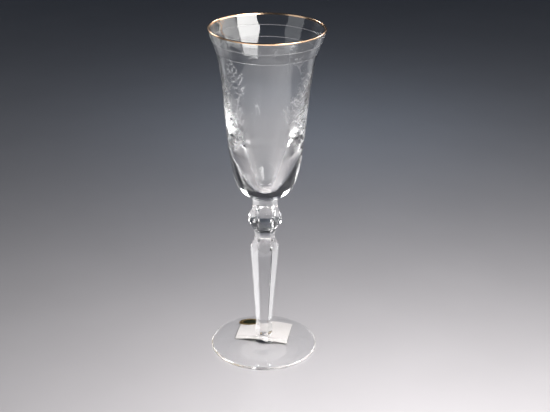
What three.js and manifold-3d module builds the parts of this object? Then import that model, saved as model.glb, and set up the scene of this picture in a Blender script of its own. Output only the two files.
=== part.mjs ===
// A crystal champagne flute: a blown trumpet bowl with a thick base and a gilded lip, on a six-sided
// cut stem with a faceted knop, on a thin round foot. A blank paper label and an oval foil seal are
// stuck under the foot, which is slightly domed. Millimetres, +Z up, the table is z = 0 and the axis is Z.
import * as THREE from "three";
import { mergeVertices } from "three/addons/utils/BufferGeometryUtils.js";
import Module from "manifold-3d";

const wasm = await Module();
wasm.setup();

// ---- Driving dimensions ----
const HEIGHT = 230; // table to the top of the lip
const LIP_RADIUS = 37.7;
const LIP_WALL = 1.2; // glass thickness at the lip
const GILDING = 1.2; // height of the gilded band that caps the lip
const GILDING_PROUD = 0.25; // how far the band stands out past the glass
const FOOT_RADIUS = 36.9;
const STEM_TURN = 3; // degrees that the stem's six flats are turned from facing -Y
const SIDES = 6; // flats round the stem

// Heights of the joints where one piece of glass is fused to the next.
const BUTTON_FLOOR = 8.4;
const BUTTON_TOP = 13.7;
const SHAFT_TOP = 82;
const WAIST_TOP = 90;
const KNOP_TOP = 105.2;
const NECK_TOP = 114;
const BOWL_TOP = HEIGHT - GILDING;
const BOWL_TOP_OUTER = LIP_RADIUS - GILDING_PROUD;
const BOWL_TOP_INNER = BOWL_TOP_OUTER - LIP_WALL;

// Radii of the stem at its corners, at those joints.
const BUTTON_FLOOR_CORNER = 5.6;
const BUTTON_TOP_CORNER = 5.8;
const SHAFT_TOP_CORNER = 7.3;
const WAIST_TOP_CORNER = 7.7;
const KNOP_TOP_CORNER = 8.7;
const NECK_TOP_CORNER = 8.2;

const BUTTON_CORNER = 5.9; // at the middle of the button's height
const BUTTON_BEVEL = 0.8; // height of the bevel at each end of the button

// The foot: a narrow flat resting ring round a shallow dome, and a top that rises as a cone to the stem.
const RING_OUTER = 36.1;
const RING_INNER = 35.2;
const DOME_HEIGHT = 2; // how far the underside clears the table at the axis
const FOOT_EDGE = 2.3; // thickness of the foot's edge

// The paper label and the foil seal follow the dome. The seal is against the glass and overlaps the
// label's corner, so the label lies just under it. GLUE is the gap between one sheet and the next.
const LABEL_WIDTH = 36;
const LABEL_DEPTH = 28;
const LABEL_THICKNESS = 0.14;
const LABEL_CENTRE = [0.3, 12.1];
const LABEL_TURN = -9.2;
const SEAL_WIDTH = 16;
const SEAL_DEPTH = 12;
const SEAL_THICKNESS = 0.12;
const SEAL_CENTRE = [-10, 24.2];
const GLUE = 0.02;

// ---- Shapes ----
const ROUND = 48; // flats that stand for a true circle
const CURVE_STEPS = 2; // straight steps between two stations of a curved outline
const OVAL_STEPS = 24; // straight steps round the oval seal
const MERGE_DISTANCE = 1e-4; // corners of a mesh nearer than this are the same corner

const radians = THREE.MathUtils.degToRad;
const apothem = (corner) => corner * Math.cos(Math.PI / SIDES);
const point = (radius, height) => new THREE.Vector2(radius, height);

// A solid of revolution about Z. The outline is a path of (radius, height), with the solid on its left.
function turned(outline) {
  return new THREE.LatheGeometry(outline.getPoints(CURVE_STEPS), ROUND).rotateX(Math.PI / 2);
}

// A six-sided column about Z whose corners follow the outline, with one flat facing -Y.
function sixSided(outline) {
  const half = Math.PI / SIDES;
  return new THREE.LatheGeometry(outline.getPoints(CURVE_STEPS), SIDES, half).rotateX(Math.PI / 2);
}

// An outline that goes up from the axis through the (radius, height) stations and back to the axis.
function column(stations) {
  const outline = new THREE.Path().moveTo(0, stations[0][1]);
  stations.forEach(([radius, height]) => outline.lineTo(radius, height));
  return outline.lineTo(0, stations.at(-1)[1]);
}

function solidOf(geometry) {
  const bare = new THREE.BufferGeometry().setIndex(geometry.index);
  bare.setAttribute("position", geometry.getAttribute("position"));
  const merged = mergeVertices(bare, MERGE_DISTANCE);
  return new wasm.Manifold(
    new wasm.Mesh({
      numProp: 3,
      vertProperties: merged.attributes.position.array,
      triVerts: new Uint32Array(merged.index.array),
    }),
  );
}

function geometryOf(solid) {
  const mesh = solid.getMesh();
  const geometry = new THREE.BufferGeometry();
  geometry.setAttribute("position", new THREE.BufferAttribute(mesh.vertProperties, 3));
  geometry.setIndex(new THREE.BufferAttribute(mesh.triVerts, 1));
  return geometry;
}

// One cut of a mitred grinding wheel in the flat that faces -Y. Its valley runs down from
// (depth, height) `from` to (depth, height) `to`, and its two sides open by `opening` degrees.
function mitreCut(from, to, opening) {
  const reach = 12;
  const rise = reach * Math.tan(radians(opening));
  const section = new THREE.Shape([
    new THREE.Vector2(0, 0),
    new THREE.Vector2(reach, -rise),
    new THREE.Vector2(reach, -reach),
    new THREE.Vector2(-reach, -reach),
    new THREE.Vector2(-reach, -rise),
  ]);
  const overrun = 3;
  const fall = from[1] - to[1];
  const length = Math.hypot(to[0] - from[0], fall);
  const wedge = new THREE.ExtrudeGeometry(section, { depth: length + overrun, bevelEnabled: false });
  const lean = Math.atan2(to[0] - from[0], fall);
  return wedge
    .translate(0, 0, -overrun)
    .rotateX(-lean)
    .translate(0, -to[0], to[1]);
}

// The same cut in each of the six flats.
function cutEachFlat(blank, from, to, opening) {
  let solid = solidOf(blank);
  for (let side = 0; side < SIDES; side += 1) {
    const cut = mitreCut(from, to, opening).rotateZ((2 * Math.PI * side) / SIDES);
    solid = solid.subtract(solidOf(cut));
  }
  return geometryOf(solid);
}

// ---- Finishes ----
const crystal = () =>
  new THREE.MeshStandardMaterial({
    color: 0xdfe6ea,
    roughness: 0.03,
    metalness: 0,
    transparent: true,
    opacity: 0.4,
  });
const gold = () => new THREE.MeshStandardMaterial({ color: 0xc98f4a, roughness: 0.2, metalness: 1 });
const paper = () => new THREE.MeshStandardMaterial({ color: 0xe9e7e0, roughness: 0.8, metalness: 0 });
const foil = () => new THREE.MeshStandardMaterial({ color: 0x6f5b2b, roughness: 0.35, metalness: 0.8 });

const flute = new THREE.Group();
const stem = new THREE.Group();
stem.rotation.z = radians(STEM_TURN);
flute.add(stem);

function add(group, name, geometry, material) {
  const mesh = new THREE.Mesh(geometry, material);
  mesh.name = name;
  group.add(mesh);
}

// ---- Bowl: slim U-shaped wall that flares at the lip, over a thick base that the cavity narrows into ----
function bowl() {
  const outer = [
    [10.8, 114.7],
    [14.3, 117],
    [18.2, 121],
    [21.2, 129.5],
    [23.7, 140.5],
    [26.4, 167],
    [28.7, 193],
    [31.4, 210.5],
    [33.5, 217.5],
    [36, 223.2],
    [BOWL_TOP_OUTER, BOWL_TOP],
  ];
  const inner = [
    [34.7, 223.2],
    [32.2, 217.5],
    [30, 210.5],
    [26.9, 193],
    [24.8, 180],
    [22.5, 170],
    [19.5, 160],
    [16.1, 150],
    [12.6, 140.5],
    [9, 131.5],
    [6.2, 125.4],
    [3.6, 122.8],
    [0, 121.8],
  ];
  const outline = new THREE.Path()
    .moveTo(0, NECK_TOP)
    .lineTo(NECK_TOP_CORNER, NECK_TOP)
    .splineThru(outer.map(([radius, height]) => point(radius, height)))
    .lineTo(BOWL_TOP_INNER, BOWL_TOP)
    .splineThru(inner.map(([radius, height]) => point(radius, height)));
  return turned(outline);
}

// Fired gold that caps the lip: a ring as wide as the glass at its joint, with a rounded top.
function rimBand() {
  const roundness = LIP_WALL / 2;
  const roundHeight = HEIGHT - roundness;
  const outline = new THREE.Path()
    .moveTo(BOWL_TOP_INNER, BOWL_TOP)
    .lineTo(BOWL_TOP_OUTER, BOWL_TOP)
    .lineTo(LIP_RADIUS, roundHeight)
    .absarc(LIP_RADIUS - roundness, roundHeight, roundness, 0, Math.PI, false)
    .lineTo(BOWL_TOP_INNER, BOWL_TOP);
  return turned(outline);
}

// ---- Stem ----
function neck() {
  return sixSided(
    column([
      [KNOP_TOP_CORNER, KNOP_TOP],
      [8.5, 107.6],
      [8.25, 111],
      [NECK_TOP_CORNER, NECK_TOP],
    ]),
  );
}

// A six-sided drum with bevelled ends. Each flat carries a kite-shaped mitre cut.
function knop() {
  const underside = [9.3, 92.4];
  const drumFloor = [11.15, 94.4];
  const drumTop = [11.15, 100.8];
  const blank = sixSided(
    column([
      [WAIST_TOP_CORNER, WAIST_TOP],
      underside,
      drumFloor,
      drumTop,
      [KNOP_TOP_CORNER, KNOP_TOP],
    ]),
  );
  const kitePoint = 96; // height of the kite's lowest point
  const opening = 10.3;
  const valleyTop = [apothem(KNOP_TOP_CORNER), KNOP_TOP];
  const valleyEnd = [apothem(drumTop[0]), kitePoint];
  return cutEachFlat(blank, valleyTop, valleyEnd, opening);
}

function waist() {
  return sixSided(
    column([
      [SHAFT_TOP_CORNER, SHAFT_TOP],
      [6.8, 84.4],
      [6.8, 87.2],
      [WAIST_TOP_CORNER, WAIST_TOP],
    ]),
  );
}

// The long shaft tapers to the foot. Its shoulder carries a kite-shaped mitre cut in each flat.
function shaft() {
  const narrowest = [5.4, 18.4];
  const taperTop = [9.5, 72];
  const shoulder = [9.55, 78];
  const blank = sixSided(
    column([
      [BUTTON_TOP_CORNER, BUTTON_TOP],
      narrowest,
      taperTop,
      shoulder,
      [SHAFT_TOP_CORNER, SHAFT_TOP],
    ]),
  );
  const kitePoint = 74; // height of the kite's lowest point
  const opening = 9.9;
  const valleyTop = [apothem(SHAFT_TOP_CORNER), SHAFT_TOP];
  const valleyEnd = [apothem(shoulder[0]), kitePoint];
  return cutEachFlat(blank, valleyTop, valleyEnd, opening);
}

function button() {
  return sixSided(
    column([
      [BUTTON_FLOOR_CORNER, BUTTON_FLOOR],
      [BUTTON_CORNER, BUTTON_FLOOR + BUTTON_BEVEL],
      [BUTTON_CORNER, BUTTON_TOP - BUTTON_BEVEL],
      [BUTTON_TOP_CORNER, BUTTON_TOP],
    ]),
  );
}

// ---- Foot ----
const domeStations = [0, 8, 16, 24, 32]; // radii between which the dome is straight
const domeHeight = (radius) => DOME_HEIGHT * (1 - (radius / RING_INNER) ** 2);

function foot() {
  const edgeRound = FOOT_EDGE / 2;
  const crown = BUTTON_CORNER; // radius of the foot's flat crown, under the button
  const coneTop = [7, 8];
  const outline = new THREE.Path().moveTo(0, DOME_HEIGHT);
  domeStations.slice(1).forEach((radius) => outline.lineTo(radius, domeHeight(radius)));
  outline
    .lineTo(RING_INNER, 0)
    .lineTo(RING_OUTER, 0)
    .absarc(FOOT_RADIUS - edgeRound, edgeRound, edgeRound, -Math.PI / 3, Math.PI / 2, false)
    .lineTo(...coneTop)
    .lineTo(crown, BUTTON_FLOOR)
    .lineTo(0, BUTTON_FLOOR);
  return turned(outline);
}

// A thin sheet under the dome, from `gap` below the glass down through its thickness, cut to a shape.
function sheetUnderDome(gap, thickness, cutter) {
  const outward = domeStations.map((radius) => point(radius, domeHeight(radius) - gap - thickness));
  const inward = domeStations.toReversed().map((radius) => point(radius, domeHeight(radius) - gap));
  const shell = turned(new THREE.Path([...outward, ...inward]));
  return geometryOf(solidOf(shell).intersect(solidOf(cutter)));
}

const CUTTER_HEIGHT = 10; // taller than the dome

function label() {
  const cutter = new THREE.BoxGeometry(LABEL_WIDTH, LABEL_DEPTH, CUTTER_HEIGHT)
    .rotateZ(radians(LABEL_TURN))
    .translate(...LABEL_CENTRE, 0);
  return sheetUnderDome(SEAL_THICKNESS + 2 * GLUE, LABEL_THICKNESS, cutter);
}

function seal() {
  const oval = new THREE.Shape().absellipse(0, 0, SEAL_WIDTH / 2, SEAL_DEPTH / 2, 0, 2 * Math.PI, false);
  const prism = { depth: CUTTER_HEIGHT, bevelEnabled: false, curveSegments: OVAL_STEPS };
  const cutter = new THREE.ExtrudeGeometry(oval, prism)
    .rotateZ(radians(LABEL_TURN))
    .translate(...SEAL_CENTRE, -CUTTER_HEIGHT / 2);
  return sheetUnderDome(GLUE, SEAL_THICKNESS, cutter);
}

add(flute, "bowl", bowl(), crystal());
add(flute, "rim_band", rimBand(), gold());
add(stem, "stem_neck", neck(), crystal());
add(stem, "knop", knop(), crystal());
add(stem, "stem_waist", waist(), crystal());
add(stem, "stem_shaft", shaft(), crystal());
add(stem, "foot_button", button(), crystal());
add(flute, "foot", foot(), crystal());
add(flute, "paper_label", label(), paper());
add(flute, "foil_seal", seal(), foil());

export default flute;
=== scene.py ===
# A cut crystal champagne flute with a gilded lip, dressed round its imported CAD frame.
# Every glass piece is a closed solid of its own. Where two pieces are fused, the faces between
# them let light straight through, so that the stack looks like one run of glass.
import math
import random

import bmesh
import bpy
import numpy as np
from mathutils import Matrix, Vector


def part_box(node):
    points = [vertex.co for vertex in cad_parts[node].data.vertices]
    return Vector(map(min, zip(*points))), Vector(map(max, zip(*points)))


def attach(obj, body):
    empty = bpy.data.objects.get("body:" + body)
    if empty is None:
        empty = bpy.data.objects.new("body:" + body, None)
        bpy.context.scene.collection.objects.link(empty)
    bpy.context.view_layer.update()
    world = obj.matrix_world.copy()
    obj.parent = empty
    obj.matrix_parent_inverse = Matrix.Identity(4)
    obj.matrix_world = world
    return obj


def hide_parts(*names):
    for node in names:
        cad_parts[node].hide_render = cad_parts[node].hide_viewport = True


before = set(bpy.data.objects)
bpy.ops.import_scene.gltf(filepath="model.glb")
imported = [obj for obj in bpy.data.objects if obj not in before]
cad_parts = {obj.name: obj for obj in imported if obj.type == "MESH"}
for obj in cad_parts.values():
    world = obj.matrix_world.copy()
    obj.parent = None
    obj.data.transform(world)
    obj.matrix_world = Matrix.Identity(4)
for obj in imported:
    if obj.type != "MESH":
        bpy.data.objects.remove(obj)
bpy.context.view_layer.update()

MM = 0.001

# ---- Sizes. Heights of the joints and outer radii come from the CAD nodes ----


def span(node):
    low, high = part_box(node)
    return low.z, high.z


BUTTON_FLOOR, BUTTON_TOP = span("foot_button")
SHAFT_TOP = span("stem_shaft")[1]
WAIST_TOP = span("stem_waist")[1]
KNOP_TOP = span("knop")[1]
NECK_TOP, BOWL_TOP = span("bowl")
LIP_TOP = span("rim_band")[1]
LIP_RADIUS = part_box("rim_band")[1].x
FOOT_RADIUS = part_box("foot")[1].x

SIDES = 6
STEM_TURN = math.radians(3)  # the stem's flats are turned this far from facing -Y
FINE_ROUND = 300  # segments round the bowl, the band and the foot
CRISP = math.radians(40)  # a turned edge that bends more than this isn't shaded smooth

CLOSE = 0.01 * MM  # heights and radii nearer than this count as one
WELD = 0.001 * MM  # corners nearer than this are one corner

# Radii of the six-sided stem at its corners, at its joints.
BUTTON_FLOOR_CORNER = 5.6 * MM
BUTTON_TOP_CORNER = 5.8 * MM
SHAFT_TOP_CORNER = 7.3 * MM
WAIST_TOP_CORNER = 7.7 * MM
KNOP_TOP_CORNER = 8.7 * MM
NECK_TOP_CORNER = 8.2 * MM
POLISHED_BACK = 0.2 * MM  # how far the polish has rounded each cut edge back

RING_OUTER = 36.1 * MM  # the foot's flat resting ring
RING_INNER = 35.2 * MM
DOME_HEIGHT = 2 * MM  # how far the foot's underside clears the table at the axis

LIP_WALL = 1.2 * MM
GILDING_PROUD = 0.25 * MM
BOWL_TOP_OUTER = LIP_RADIUS - GILDING_PROUD
BOWL_TOP_INNER = BOWL_TOP_OUTER - LIP_WALL

# The engraving round the bowl: two thin rings under the lip and upright sprays of leaves.
ENGRAVED_RINGS = (215 * MM, 222.2 * MM)
RING_LINE = 0.3 * MM  # from the middle of a ring's line to its edge
RING_SHARE = 0.6  # a ring's depth, as a share of a leaf's
SPRAY_AZIMUTHS = [math.radians(azimuth) for azimuth in (33, 147, 213, 327)]  # from +X
SPRAY_FOOT = 151 * MM
SPRAY_TIP = 204 * MM
SPRAY_SWING = 5.2 * MM  # how far a spray's stem waves to either side
SPRAY_WAVES = 1.25  # from its foot to its tip
SPRAY_LINE = 0.5 * MM  # from the middle of a spray's stem to its edge
LEAF_LEAN = (math.radians(38), math.radians(72))  # from upright, the least and the most
LEAF_LENGTH = (5 * MM, 10.5 * MM)  # at the foot of a spray
LEAF_SPACING = (1.4 * MM, 2.3 * MM)
LEAF_WIDTH = 0.24  # half a leaf's width, as a share of its length
TIP_FULLNESS = 0.45  # the length of the leaves at a spray's tip, as a share of those at its foot
BUD_LENGTH = (1.8 * MM, 3.2 * MM)
BUD_TURN = 0.7  # radians between a leaf and each of the two buds at its tip
BUD_WANDER = 0.2
BUD_OVERLAP = 0.4 * MM
ENGRAVED_DEPTH = 0.12 * MM


# ---- Outlines ----


def metres(stations):
    """Points from (radius, height) stations in millimetres."""
    return [Vector(station) * MM for station in stations]


def through(stations, steps=12, passes=30):
    """A smooth outline through (radius, height) stations, eased so that no kink shows in the glass."""
    points = [Vector(station) for station in stations]
    first = 2 * points[0] - points[1]
    last = 2 * points[-1] - points[-2]
    points = [first, *points, last]
    outline = []
    for before, start, end, after in zip(points, points[1:], points[2:], points[3:]):
        outline += [blend_points(before, start, end, after, step / steps) for step in range(steps)]
    outline.append(points[-2])
    for _ in range(passes):
        eased = [(a + 2 * b + c) / 4 for a, b, c in zip(outline, outline[1:], outline[2:])]
        outline = [outline[0], *eased, outline[-1]]
    return outline


def blend_points(before, start, end, after, share):
    """A centripetal Catmull-Rom curve from start to end."""
    knots = [0.0]
    for a, b in ((before, start), (start, end), (end, after)):
        knots.append(knots[-1] + math.sqrt((b - a).length))
    t = knots[1] + share * (knots[2] - knots[1])

    def between(a, b, low, high):
        return a.lerp(b, (t - knots[low]) / (knots[high] - knots[low]))

    first = between(before, start, 0, 1)
    second = between(start, end, 1, 2)
    third = between(end, after, 2, 3)
    return between(between(first, second, 0, 2), between(second, third, 1, 3), 1, 2)


def arc(centre, radius, start, end, steps):
    """Points round a centre between two angles in degrees: 0 is outwards and 90 is up."""
    turns = [math.radians(start + (end - start) * step / steps) for step in range(steps + 1)]
    return [centre + radius * Vector((math.cos(turn), math.sin(turn))) for turn in turns]


def spaced(outline, spacing):
    """The outline with its points about spacing(height) apart."""
    kept = [outline[0]]
    for start, end in zip(outline, outline[1:]):
        steps = max(1, math.ceil((end - start).length / (0.1 * MM)))
        for step in range(1, steps + 1):
            point = start.lerp(end, step / steps)
            if (point - kept[-1]).length >= spacing(point.y):
                kept.append(point)
    if (outline[-1] - kept[-1]).length < spacing(outline[-1].y) / 2:
        kept.pop()
    kept.append(outline[-1])
    return kept


# ---- Solids ----


def object_of(name, bm, materials):
    mesh = bpy.data.meshes.new(name)
    bm.to_mesh(mesh)
    bm.free()
    for material in materials:
        mesh.materials.append(material)
    piece = bpy.data.objects.new(name, mesh)
    bpy.context.scene.collection.objects.link(piece)
    return piece


def six_sided_radius(corner, azimuth):
    """How far a hexagon with that corner radius reaches at an azimuth."""
    step = 2 * math.pi / SIDES
    from_flat = (azimuth - STEM_TURN) % step - step / 2
    return corner * math.cos(step / 2) / math.cos(from_flat)


def turned(outline, segments=FINE_ROUND, six_sided_at=None):
    """A solid of revolution about Z from (radius, height) points that go up its outside. Rings at the
    height six_sided_at are hexagons, to meet the stem. Returns its bmesh."""
    bm = bmesh.new()
    rings = []
    for radius, height in outline:
        if radius < CLOSE:
            rings.append([bm.verts.new((0, 0, height))])
            continue
        ring = []
        for segment in range(segments):
            azimuth = STEM_TURN + 2 * math.pi * segment / segments
            reach = radius
            if six_sided_at is not None and abs(height - six_sided_at) < CLOSE:
                reach = six_sided_radius(radius, azimuth)
            ring.append(bm.verts.new((reach * math.cos(azimuth), reach * math.sin(azimuth), height)))
        rings.append(ring)
    for lower, upper in zip(rings, rings[1:]):
        for here in range(segments):
            after = (here + 1) % segments
            corners = [lower[here % len(lower)], lower[after % len(lower)]]
            corners += [upper[after % len(upper)], upper[here % len(upper)]]
            bm.faces.new(dict.fromkeys(corners))
    for face in bm.faces:
        face.smooth = True
    return bm


def half_flat(stations, cut):
    """The half of the flat facing -Y that lies at +X, through (corner radius, height) stations, as an
    open mesh. cut is a mitre cut as two (depth, height) ends of its valley and how far it opens."""
    bm = bmesh.new()
    rows = []
    for corner, height in stations:
        depth = apothem(corner)
        rows.append((bm.verts.new((0, -depth, height)), bm.verts.new((corner / 2, -depth, height))))
    for lower, upper in zip(rows, rows[1:]):
        bm.faces.new((lower[0], lower[1], upper[1], upper[0]))
    if cut is None:
        return bm
    (top_depth, top), (end_depth, end), opening = cut
    valley = Vector((0, -top_depth, top)) - Vector((0, -end_depth, end))
    outward = Vector((0, -valley.z, valley.y)).normalized()
    flank = Vector((math.cos(opening), 0, 0)) + outward * math.sin(opening)
    ground_off = flank.cross(valley).normalized()
    if ground_off.dot(outward) < 0:
        ground_off.negate()
    everything = [*bm.verts, *bm.edges, *bm.faces]
    start = Vector((0, -end_depth, end))
    bmesh.ops.bisect_plane(
        bm, geom=everything, dist=WELD / 10, plane_co=start, plane_no=ground_off, clear_outer=True
    )
    rim = [vert for vert in bm.verts if abs((vert.co - start).dot(ground_off)) < WELD]
    rim.sort(key=lambda vert: vert.co.z)
    bm.faces.new(rim)
    return bm


def faceted(stations, cut=None):
    """A closed six-sided column through (corner radius, height) stations, with one flat facing about -Y
    and the same mitre cut in each flat."""
    half = half_flat(stations, cut)
    bm = bmesh.new()
    for side in range(SIDES):
        turn = Matrix.Rotation(STEM_TURN + 2 * math.pi * side / SIDES, 4, "Z")
        for mirror in (1, -1):
            for face in half.faces:
                corners = [Vector((mirror * v.co.x, v.co.y, v.co.z)) for v in face.verts]
                bm.faces.new([bm.verts.new(turn @ corner) for corner in corners])
    half.free()
    bmesh.ops.remove_doubles(bm, verts=bm.verts, dist=2 * WELD)
    rims = [edge for edge in bm.edges if edge.is_boundary]
    for height in (stations[0][1], stations[-1][1]):
        rim = [edge for edge in rims if all(abs(vert.co.z - height) < WELD for vert in edge.verts)]
        bmesh.ops.contextual_create(bm, geom=rim)
    bmesh.ops.recalc_face_normals(bm, faces=bm.faces)
    return bm


def apothem(corner):
    return corner * math.cos(math.pi / SIDES)


def is_joint(face, heights):
    level = face.calc_center_median().z
    is_level = abs(face.normal.z) > 0.999
    return is_level and any(abs(level - height) < 2 * CLOSE for height in heights)


def polished(bm, joints):
    """Rounds the cut edges slightly, as acid polishing does, and marks the faces at the joints."""
    as_good_as_flat = math.radians(0.3)
    clearly_bent = math.radians(3)
    bmesh.ops.dissolve_limit(bm, angle_limit=as_good_as_flat, verts=bm.verts, edges=bm.edges)
    bm.normal_update()
    ends = {face for face in bm.faces if is_joint(face, joints)}
    sharp = []
    for edge in bm.edges:
        if ends.isdisjoint(edge.link_faces) and edge.calc_face_angle(0) > clearly_bent:
            sharp.append(edge)
    bmesh.ops.bevel(bm, geom=sharp, offset=POLISHED_BACK, segments=3, profile=0.5, affect="EDGES")
    bm.normal_update()
    mark_joints(bm, joints)
    return bm


def mark_joints(bm, joints):
    for face in bm.faces:
        face.material_index = int(is_joint(face, joints))


# ---- Materials ----


class Nodes:
    """Short calls for building one material's node tree."""

    def __init__(self, name):
        self.material = bpy.data.materials.new(name)
        self.material.use_nodes = True
        self.tree = self.material.node_tree
        self.tree.nodes.clear()
        self.output = self.add("ShaderNodeOutputMaterial")

    def add(self, kind, **settings):
        node = self.tree.nodes.new(kind)
        for key, value in settings.items():
            if key in node.inputs:
                node.inputs[key].default_value = value
            else:
                setattr(node, key, value)
        return node

    def link(self, source, target):
        self.tree.links.new(source, target)

    def noise(self, scale, detail=3.0, roughness=0.5):
        place = self.add("ShaderNodeTexCoord")
        node = self.add("ShaderNodeTexNoise", Scale=scale, Detail=detail, Roughness=roughness)
        self.link(place.outputs["Object"], node.inputs["Vector"])
        return node.outputs["Fac"]

    def spread(self, value, low, high, to_low, to_high):
        """value from low..high to to_low..to_high, clamped."""
        limits = {"From Min": low, "From Max": high, "To Min": to_low, "To Max": to_high}
        node = self.add("ShaderNodeMapRange", **limits)
        self.link(value, node.inputs["Value"])
        return node.outputs["Result"]

    def ramp(self, value, stops):
        node = self.add("ShaderNodeValToRGB")
        ramp = node.color_ramp
        while len(ramp.elements) < len(stops):
            ramp.elements.new(0.5)
        for element, (place, colour) in zip(ramp.elements, stops):
            element.position = place
            element.color = (*colour, 1)
        self.link(value, node.inputs["Fac"])
        return node.outputs["Color"]

    def maths(self, operation, first, second):
        node = self.add("ShaderNodeMath", operation=operation)
        self.link(first, node.inputs[0])
        self.link(second, node.inputs[1])
        return node.outputs[0]

    def bump(self, height, distance):
        node = self.add("ShaderNodeBump", Distance=distance, Strength=1.0)
        self.link(height, node.inputs["Height"])
        return node.outputs["Normal"]

    def attribute(self, name):
        return self.add("ShaderNodeAttribute", attribute_name=name).outputs["Fac"]

    def finish(self, shader):
        """The material, with this shader for its surface."""
        self.link(shader.outputs[0], self.output.inputs["Surface"])
        return self.material


def crystal(name, engraved=False):
    """Polished lead crystal. Lamps shine through it, and the engraving on it is frosted."""
    nodes = Nodes(name)
    glass = nodes.add("ShaderNodeBsdfPrincipled")
    glass.inputs["Base Color"].default_value = (0.994, 0.997, 0.996, 1)
    glass.inputs["IOR"].default_value = 1.54
    glass.inputs["Transmission Weight"].default_value = 1
    polish = nodes.spread(nodes.noise(180), 0.4, 0.7, 0.0, 0.012)
    if engraved:
        strokes = nodes.spread(nodes.noise(1300), 0.4, 0.56, 0.5, 1.0)
        depth = nodes.maths("MULTIPLY", nodes.attribute("engraving"), strokes)
        polish = nodes.maths("ADD", polish, nodes.spread(depth, 0.0, 1.0, 0.0, 0.36))
        nodes.link(nodes.spread(depth, 0.0, 1.0, 1.0, 0.84), glass.inputs["Transmission Weight"])
    nodes.link(polish, glass.inputs["Roughness"])
    wave = nodes.bump(nodes.noise(28, detail=1.0), 0.05 * MM)
    nodes.link(wave, glass.inputs["Normal"])
    lit = nodes.add("ShaderNodeBsdfTransparent")
    lit.inputs["Color"].default_value = (0.99, 0.992, 0.995, 1)
    path = nodes.add("ShaderNodeLightPath")
    lights = nodes.maths("MAXIMUM", path.outputs["Is Shadow Ray"], path.outputs["Is Diffuse Ray"])
    mix = nodes.add("ShaderNodeMixShader")
    nodes.link(lights, mix.inputs["Fac"])
    nodes.link(glass.outputs[0], mix.inputs[1])
    nodes.link(lit.outputs[0], mix.inputs[2])
    return nodes.finish(mix)


def fused_joint():
    """The face between two pieces of fused glass: nothing shows there."""
    nodes = Nodes("fused_joint")
    clear = nodes.add("ShaderNodeBsdfTransparent")
    return nodes.finish(clear)


def gilding():
    nodes = Nodes("gilding")
    metal = nodes.add("ShaderNodeBsdfPrincipled")
    metal.inputs["Metallic"].default_value = 1
    grain = nodes.noise(900, detail=5.0)
    tone = nodes.ramp(grain, ((0.3, (0.66, 0.42, 0.26)), (0.7, (0.88, 0.64, 0.44))))
    nodes.link(tone, metal.inputs["Base Color"])
    nodes.link(nodes.spread(grain, 0.3, 0.7, 0.14, 0.3), metal.inputs["Roughness"])
    nodes.link(nodes.bump(grain, 0.01 * MM), metal.inputs["Normal"])
    return nodes.finish(metal)


def paper():
    nodes = Nodes("paper")
    sheet = nodes.add("ShaderNodeBsdfPrincipled")
    fibres = nodes.noise(2600, detail=6.0, roughness=0.7)
    blotches = nodes.noise(120, detail=2.0)
    fine = nodes.spread(fibres, 0.3, 0.7, 0.0, 0.5)
    broad = nodes.spread(blotches, 0.3, 0.7, 0.0, 0.5)
    shade = nodes.maths("ADD", fine, broad)
    tone = nodes.ramp(shade, ((0.0, (0.80, 0.78, 0.73)), (1.0, (0.90, 0.89, 0.85))))
    nodes.link(tone, sheet.inputs["Base Color"])
    nodes.link(nodes.spread(fibres, 0.3, 0.7, 0.7, 0.9), sheet.inputs["Roughness"])
    nodes.link(nodes.bump(fibres, 0.02 * MM), sheet.inputs["Normal"])
    return nodes.finish(sheet)


def foil():
    """Dark green foil with two embossed gold rings. The attribute `ring` is 0 in the middle, 1 at the
    edge."""
    nodes = Nodes("foil")
    sheet = nodes.add("ShaderNodeBsdfPrincipled")
    sheet.inputs["Metallic"].default_value = 0.85
    across = nodes.attribute("ring")
    green = (0.05, 0.055, 0.022)
    gold = (0.42, 0.29, 0.11)
    # painted shade: the groove between the two gold rings is coloured near black
    groove_painted_shade = (0.05, 0.035, 0.015)
    stops = ((0.0, green), (0.62, green), (0.7, gold), (0.8, gold), (0.86, groove_painted_shade), (0.95, gold))
    nodes.link(nodes.ramp(across, stops), sheet.inputs["Base Color"])
    crumple = nodes.noise(700, detail=4.0)
    nodes.link(nodes.spread(crumple, 0.3, 0.7, 0.2, 0.45), sheet.inputs["Roughness"])
    nodes.link(nodes.bump(crumple, 0.04 * MM), sheet.inputs["Normal"])
    return nodes.finish(sheet)


CRYSTAL = crystal("crystal")
ENGRAVED = crystal("engraved_crystal", engraved=True)
JOINT = fused_joint()
GILDING = gilding()
PAPER = paper()
FOIL = foil()


def place(piece, node, slot):
    """piece stands for one CAD node: it rides on the object's only body, and that node's own mesh is
    hidden. slot is not used.
    """
    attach(piece, "root")
    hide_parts(node)


# ---- Bowl ----


def bowl_outline():
    """The outside from the neck up to the lip, and the inside from the lip down to its bottom."""
    outer = metres(
        (
            (10.8, 114.7),
            (14.3, 117),
            (18.2, 121),
            (21.2, 129.5),
            (23.7, 140.5),
            (26.4, 167),
            (28.7, 193),
            (31.4, 210.5),
            (33.5, 217.5),
            (36, 223.2),
        )
    )
    inner = metres(
        (
            (34.7, 223.2),
            (32.2, 217.5),
            (30, 210.5),
            (26.9, 193),
            (24.8, 180),
            (22.5, 170),
            (19.5, 160),
            (16.1, 150),
            (12.6, 140.5),
            (9, 131.5),
            (6.2, 125.4),
            (3.6, 122.8),
            (0, 121.8),
        )
    )
    neck = Vector((NECK_TOP_CORNER, NECK_TOP))
    outside = through([neck, *outer, Vector((BOWL_TOP_OUTER, BOWL_TOP))])
    inside = through([Vector((BOWL_TOP_INNER, BOWL_TOP)), *inner])
    return outside, inside


def outer_spacing(height):
    """How close the rows of the bowl's outside lie: close where it is engraved."""
    if any(abs(height - ring) < 2 * RING_LINE for ring in ENGRAVED_RINGS):
        return 0.15 * MM
    if SPRAY_FOOT - 2 * MM < height < SPRAY_TIP + 2 * MM:
        return 0.5 * MM
    return 1.1 * MM


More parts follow.
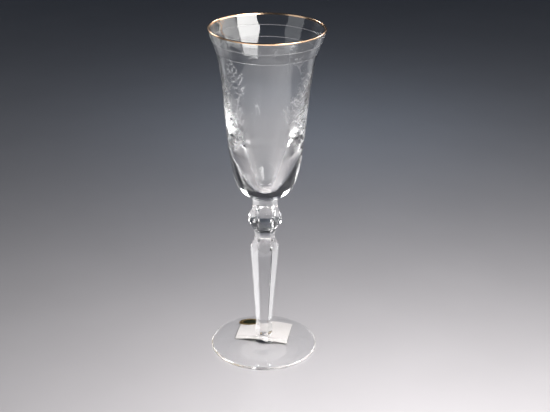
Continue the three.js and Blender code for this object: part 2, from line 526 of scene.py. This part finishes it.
def vine(height):
    """How far a spray's stem lies from its middle line, as a length round the bowl."""
    rise = (height - SPRAY_FOOT) / (SPRAY_TIP - SPRAY_FOOT)
    return SPRAY_SWING * np.sin(2 * math.pi * SPRAY_WAVES * rise)


def round_gap(azimuth, middle, radius):
    """How far round the bowl each azimuth lies from a middle line."""
    return ((azimuth - middle + math.pi) % (2 * math.pi) - math.pi) * radius


def leaves():
    """The leaves of all sprays: (azimuth of the spray, distance from its middle line, height, turn,
    length). Turn is measured from level."""
    dice = random.Random(11)
    sprigs = []
    for azimuth in SPRAY_AZIMUTHS:
        height = SPRAY_FOOT + 2 * MM
        side = 1
        while height < SPRAY_TIP:
            turn = math.pi / 2 - side * dice.uniform(*LEAF_LEAN)
            to_go = (SPRAY_TIP - height) / (SPRAY_TIP - SPRAY_FOOT)
            fullness = TIP_FULLNESS + (1 - TIP_FULLNESS) * to_go
            length = fullness * dice.uniform(*LEAF_LENGTH)
            sprigs.append((azimuth, vine(height), height, turn, length))
            tip = length - BUD_OVERLAP
            away = vine(height) + tip * math.cos(turn)
            for bud_turn in (-BUD_TURN, BUD_TURN):
                twig = turn + bud_turn + dice.uniform(-BUD_WANDER, BUD_WANDER)
                bud = dice.uniform(*BUD_LENGTH)
                sprigs.append((azimuth, away, height + tip * math.sin(turn), twig, bud))
            height += dice.uniform(*LEAF_SPACING)
            side = -side
    return sprigs


def engraved_depth(azimuth, height, radius):
    """How deep the engraving is at each point of the bowl's outside, from 0 to 1."""
    depth = np.zeros_like(azimuth)
    for ring in ENGRAVED_RINGS:
        depth = np.maximum(depth, RING_SHARE * (1 - np.abs(height - ring) / RING_LINE))
    inside = (height > SPRAY_FOOT) & (height < SPRAY_TIP)
    for middle in SPRAY_AZIMUTHS:
        stem = 1 - np.abs(round_gap(azimuth, middle, radius) - vine(height)) / SPRAY_LINE
        depth = np.maximum(depth, np.where(inside, stem, 0))
    for middle, along, root, turn, length in leaves():
        x = round_gap(azimuth, middle, radius) - along
        y = height - root
        near = (np.abs(x) < length) & (np.abs(y) < length)
        x, y = x[near] / length, y[near] / length
        out = x * math.cos(turn) + y * math.sin(turn)
        across = -x * math.sin(turn) + y * math.cos(turn)
        width = LEAF_WIDTH * np.sin(np.pi * np.clip(out, 0, 1)) ** 0.8
        leaf = 1 - np.abs(across) / np.maximum(width, 1e-4)
        depth[near] = np.maximum(depth[near], np.clip(leaf, 0, 1))
    return np.clip(depth, 0, 1)


def engrave(bm, count):
    """Sinks the engraving into the bowl's first points, its outside, and stores how frosted each is."""
    layer = bm.verts.layers.float.new("engraving")
    outer = list(bm.verts)[:count]
    places = np.array([vert.co[:] for vert in outer])
    radius = np.hypot(places[:, 0], places[:, 1])
    azimuth = np.arctan2(places[:, 1], places[:, 0]) % (2 * math.pi)
    depth = engraved_depth(azimuth, places[:, 2], np.maximum(radius, MM))
    for vert, share in zip(outer, depth.tolist()):
        if share <= 0:
            continue
        vert[layer] = min(1.0, 2.0 * share)  # half the depth is already fully frosted
        out = Vector((vert.co.x, vert.co.y, 0)).normalized()
        vert.co -= out * (ENGRAVED_DEPTH * share)


def make_bowl():
    outside, inside = bowl_outline()
    outside = spaced(outside, outer_spacing)
    inside = spaced(inside, lambda height: 1.4 * MM)
    outline = [Vector((0, NECK_TOP)), *outside, *inside]
    bm = turned(outline, six_sided_at=NECK_TOP)
    engrave(bm, 1 + FINE_ROUND * len(outside))
    bm.normal_update()
    mark_joints(bm, [NECK_TOP])
    bowl = object_of("bowl_glass", bm, [ENGRAVED, JOINT])
    bowl.data.set_sharp_from_angle(angle=CRISP)
    place(bowl, "bowl", "crystal")


def make_rim_band():
    roundness = LIP_WALL / 2
    centre = Vector((LIP_RADIUS - roundness, LIP_TOP - roundness))
    crown = arc(centre, roundness, 0, 180, 12)
    profile = [Vector((BOWL_TOP_OUTER, BOWL_TOP)), *crown, Vector((BOWL_TOP_INNER, BOWL_TOP))]
    profile.append(profile[0])
    bm = turned(profile)
    bmesh.ops.remove_doubles(bm, verts=bm.verts, dist=WELD)
    band = object_of("gilded_lip", bm, [GILDING])
    band.data.set_sharp_from_angle(angle=CRISP)
    place(band, "rim_band", "gilding")


# ---- Stem ----


def stem_piece(name, node, bm, low, high):
    piece = object_of(name, polished(bm, (low, high)), [CRYSTAL, JOINT])
    place(piece, node, "crystal")


def make_stem():
    """The five pieces from the bowl down to the foot, each given as (corner radius, height) stations."""
    neck = [
        Vector((KNOP_TOP_CORNER, KNOP_TOP)),
        *metres(((8.5, 107.6), (8.25, 111))),
        Vector((NECK_TOP_CORNER, NECK_TOP)),
    ]
    stem_piece("neck_glass", "stem_neck", faceted(neck), KNOP_TOP, NECK_TOP)

    underside, drum_floor, drum_top = metres(((9.3, 92.4), (11.15, 94.4), (11.15, 100.8)))
    knop = [
        Vector((WAIST_TOP_CORNER, WAIST_TOP)),
        underside,
        drum_floor,
        drum_top,
        Vector((KNOP_TOP_CORNER, KNOP_TOP)),
    ]
    valley_top = (apothem(KNOP_TOP_CORNER), KNOP_TOP)
    kite_point = (apothem(drum_top.x), 96 * MM)
    cut = (valley_top, kite_point, math.radians(10.3))
    stem_piece("knop_glass", "knop", faceted(knop, cut), WAIST_TOP, KNOP_TOP)

    waist = [
        Vector((SHAFT_TOP_CORNER, SHAFT_TOP)),
        *metres(((6.8, 84.4), (6.8, 87.2))),
        Vector((WAIST_TOP_CORNER, WAIST_TOP)),
    ]
    stem_piece("waist_glass", "stem_waist", faceted(waist), SHAFT_TOP, WAIST_TOP)

    narrowest, taper_top, shoulder = metres(((5.4, 18.4), (9.5, 72), (9.55, 78)))
    shaft = [
        Vector((BUTTON_TOP_CORNER, BUTTON_TOP)),
        narrowest,
        taper_top,
        shoulder,
        Vector((SHAFT_TOP_CORNER, SHAFT_TOP)),
    ]
    valley_top = (apothem(SHAFT_TOP_CORNER), SHAFT_TOP)
    kite_point = (apothem(shoulder.x), 74 * MM)
    cut = (valley_top, kite_point, math.radians(9.9))
    stem_piece("shaft_glass", "stem_shaft", faceted(shaft, cut), BUTTON_TOP, SHAFT_TOP)

    bevel = 0.8 * MM
    widest = 5.9 * MM
    button = [
        Vector((BUTTON_FLOOR_CORNER, BUTTON_FLOOR)),
        Vector((widest, BUTTON_FLOOR + bevel)),
        Vector((widest, BUTTON_TOP - bevel)),
        Vector((BUTTON_TOP_CORNER, BUTTON_TOP)),
    ]
    stem_piece("button_glass", "foot_button", faceted(button), BUTTON_FLOOR, BUTTON_TOP)


# ---- Foot ----


def dome_height(radius):
    """How far the domed underside of the foot clears the table."""
    return DOME_HEIGHT * max(0.0, 1 - (radius / RING_INNER) ** 2)


def make_foot():
    """A disc with a domed underside, a round edge and a top that rises as a cone to the stem."""
    dome = [radius * MM for radius in range(35)]
    under = [Vector((radius, dome_height(radius))) for radius in dome]
    ring = [Vector((RING_INNER, 0)), Vector((RING_OUTER, 0))]
    edge_round = 1.15 * MM
    edge = arc(Vector((FOOT_RADIUS - edge_round, edge_round)), edge_round, -60, 90, 14)
    cone_top = Vector((7, 8)) * MM
    steps = 28
    cone = [edge[-1].lerp(cone_top, step / steps) for step in range(1, steps + 1)]
    crown = [Vector((BUTTON_FLOOR_CORNER, BUTTON_FLOOR)), Vector((0, BUTTON_FLOOR))]
    outline = [*under, *ring, *edge, *cone, *crown]
    bm = turned(outline, six_sided_at=BUTTON_FLOOR)
    bm.normal_update()
    mark_joints(bm, [BUTTON_FLOOR])
    foot = object_of("foot_glass", bm, [CRYSTAL, JOINT])
    foot.data.set_sharp_from_angle(angle=CRISP)
    place(foot, "foot", "crystal")


# ---- Label and seal ----

# Both are glued on, so that their faces show through the glass without a mirror of air before
# them: each lies PRESSED into the glass.
PRESSED = 0.02 * MM
AIR = 0.03 * MM  # the least gap between the label and the seal, and under the label
LABEL_TURN = Matrix.Rotation(math.radians(-9.2), 2)
LABEL_WIDTH = 36 * MM
LABEL_DEPTH = 28 * MM
LABEL_THICKNESS = 0.14 * MM
LABEL_GLUED = 0.78  # the label's front is loose beyond this share of the way from its middle
LABEL_HANG = 0.9 * MM  # how far its loose front corners hang from the glass
SEAL_HALF_WIDTH = 8 * MM
SEAL_HALF_DEPTH = 6 * MM
SEAL_THICKNESS = 0.12 * MM
SEAL_RELIEF = 0.03 * MM


def middle_of(node):
    low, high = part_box(node)
    return (low + high) / 2


LABEL_MIDDLE = middle_of("paper_label")
SEAL_MIDDLE = middle_of("foil_seal")


def sheet_between(upper, lower, caps):
    """A thin closed sheet: two grids of points with their rims joined. With caps the rows are rings,
    and the innermost ring is closed by a face."""
    bm = bmesh.new()
    grids = [[[bm.verts.new(point) for point in row] for row in grid] for grid in (upper, lower)]
    for grid in grids:
        for row, following in zip(grid, grid[1:]):
            count = len(row)
            for step in range(count if caps else count - 1):
                after = (step + 1) % count
                bm.faces.new((row[step], row[after], following[after], following[step]))
    if caps:
        for grid in grids:
            bm.faces.new(grid[0])
    edges = [edge for edge in bm.edges if edge.is_boundary]
    bmesh.ops.bridge_loops(bm, edges=edges)
    bmesh.ops.recalc_face_normals(bm, faces=bm.faces)
    for face in bm.faces:
        face.smooth = abs(face.normal.z) > 0.5
    return bm


def seal_share(x, y):
    """0 at the middle of the seal and 1 at its edge."""
    flat = Vector((x - SEAL_MIDDLE.x, y - SEAL_MIDDLE.y)) @ LABEL_TURN
    return math.hypot(flat.x / SEAL_HALF_WIDTH, flat.y / SEAL_HALF_DEPTH)


def lowered(grid, drop):
    return [[point - Vector((0, 0, drop)) for point in row] for row in grid]


def make_label():
    """A stiff paper rectangle glued to the dome. It passes under the seal, and its front edge lifts off
    the glass towards the corners."""
    columns, rows = 72, 56
    dips_from, dips_over = 1.3, 0.25  # outside the seal, as shares of the way from its middle to its edge
    upper = []
    for row in range(rows + 1):
        line = []
        for step in range(columns + 1):
            u = 2 * step / columns - 1
            v = 2 * row / rows - 1
            flat = LABEL_TURN @ Vector((u * LABEL_WIDTH / 2, v * LABEL_DEPTH / 2))
            x, y = LABEL_MIDDLE.x + flat.x, LABEL_MIDDLE.y + flat.y
            loose = max(0.0, -v - LABEL_GLUED) / (1 - LABEL_GLUED)
            under_seal = min(1.0, max(0.0, (dips_from - seal_share(x, y)) / dips_over))
            towards_corner = 0.25 + 0.75 * abs(u)
            gap = LABEL_HANG * loose**2 * towards_corner - PRESSED
            gap = max(gap, (SEAL_THICKNESS + AIR) * under_seal)
            height = max(dome_height(math.hypot(x, y)) - gap, LABEL_THICKNESS + AIR)
            line.append(Vector((x, y, height)))
        upper.append(line)
    lower = lowered(upper, LABEL_THICKNESS)
    label = object_of("label_sheet", sheet_between(upper, lower, caps=False), [PAPER])
    place(label, "paper_label", "paper")


def make_seal():
    """An oval of foil with raised rings, against the glass."""
    rings, steps = 24, 96
    upper = []
    for ring in range(1, rings + 1):
        share = ring / rings
        line = []
        for step in range(steps):
            azimuth = 2 * math.pi * step / steps
            spoke = Vector((SEAL_HALF_WIDTH * math.cos(azimuth), SEAL_HALF_DEPTH * math.sin(azimuth)))
            flat = LABEL_TURN @ (share * spoke)
            x, y = SEAL_MIDDLE.x + flat.x, SEAL_MIDDLE.y + flat.y
            raised = SEAL_RELIEF * math.sin(6 * math.pi * share) ** 2
            line.append(Vector((x, y, dome_height(math.hypot(x, y)) + PRESSED + raised)))
        upper.append(line)
    lower = lowered(upper, SEAL_THICKNESS - SEAL_RELIEF)
    bm = sheet_between(upper, lower, caps=True)
    layer = bm.verts.layers.float.new("ring")
    for vert in bm.verts:
        vert[layer] = seal_share(vert.co.x, vert.co.y)
    seal = object_of("foil_seal_sheet", bm, [FOIL])
    place(seal, "foil_seal", "foil")


# ---- Stage, light and camera ----


def pale_surface():
    nodes = Nodes("pale_backdrop")
    sheet = nodes.add("ShaderNodeBsdfPrincipled")
    mottle = nodes.noise(14, detail=4.0)
    darker, paler = (0.49, 0.49, 0.49), (0.51, 0.51, 0.51)
    tone = nodes.ramp(mottle, ((0.3, darker), (0.7, paler)))
    nodes.link(tone, sheet.inputs["Base Color"])
    sheet.inputs["Roughness"].default_value = 0.34
    sheet.inputs["Specular IOR Level"].default_value = 0.3
    return nodes.finish(sheet)


def make_backdrop():
    """A round floor that sweeps up into a wall, far enough out to hold every camera."""
    below = -0.05 * MM  # a hair under the foot, so that the two faces never coincide
    reach, sweep, wall = 2.4, 0.8, 1.6  # metres
    bend = arc(Vector((reach, below + sweep)), sweep, -90, 0, 16)
    outline = [Vector((0, below)), *bend, Vector((reach + sweep, below + wall))]
    bm = turned(outline, segments=96)
    bmesh.ops.reverse_faces(bm, faces=bm.faces)
    object_of("backdrop", bm, [pale_surface()])


def softbox(name, place_at, aim, size, power, colour):
    light = bpy.data.lights.new(name, "AREA")
    light.shape = "RECTANGLE"
    light.size, light.size_y = size
    light.energy = power
    light.color = colour
    lamp = bpy.data.objects.new(name, light)
    bpy.context.scene.collection.objects.link(lamp)
    lamp.location = place_at
    away = Vector(place_at) - Vector(aim)
    lamp.rotation_euler = away.to_track_quat("Z", "Y").to_euler()
    lamp.visible_camera = False
    return lamp


def lamp_over(name, x, y, height, width, power, colour):
    """A square lamp that shines straight down. It lights the floor and the paper, and never shows."""
    lamp = softbox(name, (x, y, height), (x, y, 0), (width, width), power, colour)
    lamp.visible_glossy = False
    lamp.visible_transmission = False


def box_around(name, azimuth, distance, height, size, power, colour):
    """A softbox round the flute that only shows in its glass and on the satin floor. Azimuth 0 is
    towards -Y, and grows towards +X."""
    turn = math.radians(azimuth)
    place_at = (distance * math.sin(turn), -distance * math.cos(turn), height)
    lamp = softbox(name, place_at, (0, 0, 0.1), size, power, colour)
    lamp.visible_diffuse = False


def card_before(name, size, power, colour):
    """A pale card that lies before the flute and faces up. It only shows as a reflection in the bowl's
    glass."""
    x, y, height = 0.03, -0.42, 0.004
    card = softbox(name, (x, y, height), (x, y, 1), size, power, colour)
    card.visible_diffuse = False
    card.visible_transmission = False


def light_stage():
    """Sizes and places in metres, powers in watts."""
    world = bpy.data.worlds.new("studio")
    bpy.context.scene.world = world
    world.use_nodes = True
    world.node_tree.nodes["Background"].inputs["Color"].default_value = (0.024, 0.031, 0.046, 1)
    warm, cool, white = (1, 0.985, 0.965), (0.96, 0.98, 1), (1, 1, 1)
    lamp_over("lamp", 0.12, -0.25, 0.387, 0.24, 4.03, (1, 0.95, 0.965))
    lamp_over("glow", 0.05, 0.42, 0.3, 0.1, 0.165, (0.58, 0.74, 1))
    near_box = (0.42, 0.36)
    box_around("key", 45, 0.5, 0.38, near_box, 4.7, warm)
    box_around("key_side", 92, 0.5, 0.38, near_box, 1.4, warm)
    box_around("fill", -64, 0.6, 0.38, near_box, 0.43, cool)
    for side in (-1, 1):
        box_around("back", side * 136, 2.0, 1.15, (0.7, 0.66), 22.0, white)
    card_before("card", (0.8, 0.56), 1.75, (1, 0.99, 0.98))


def aim_camera():
    """In front of the flute and above it, with the frame tilted a little."""
    camera = bpy.data.cameras.new("camera")
    camera.sensor_width = 36
    camera.lens = 75.5
    eye = bpy.data.objects.new("camera", camera)
    bpy.context.scene.collection.objects.link(eye)
    eye.location = (0.0066, -0.710, 0.4224)
    pitch = math.radians(23.97)
    roll = math.radians(0.84)
    turn = Matrix.Rotation(math.pi / 2 - pitch, 3, "X") @ Matrix.Rotation(roll, 3, "Z")
    eye.rotation_euler = turn.to_euler()
    bpy.context.scene.camera = eye


def set_light_paths():
    """Enough bounces for light to cross the walls, and plain colours without a film look."""
    scene = bpy.context.scene
    scene.view_settings.view_transform = "Standard"
    scene.cycles.max_bounces = 32
    scene.cycles.transmission_bounces = 32
    scene.cycles.glossy_bounces = 16
    scene.cycles.transparent_max_bounces = 32


aim_camera()
set_light_paths()
make_backdrop()
light_stage()
make_bowl()
make_rim_band()
make_stem()
make_foot()
make_label()
make_seal()
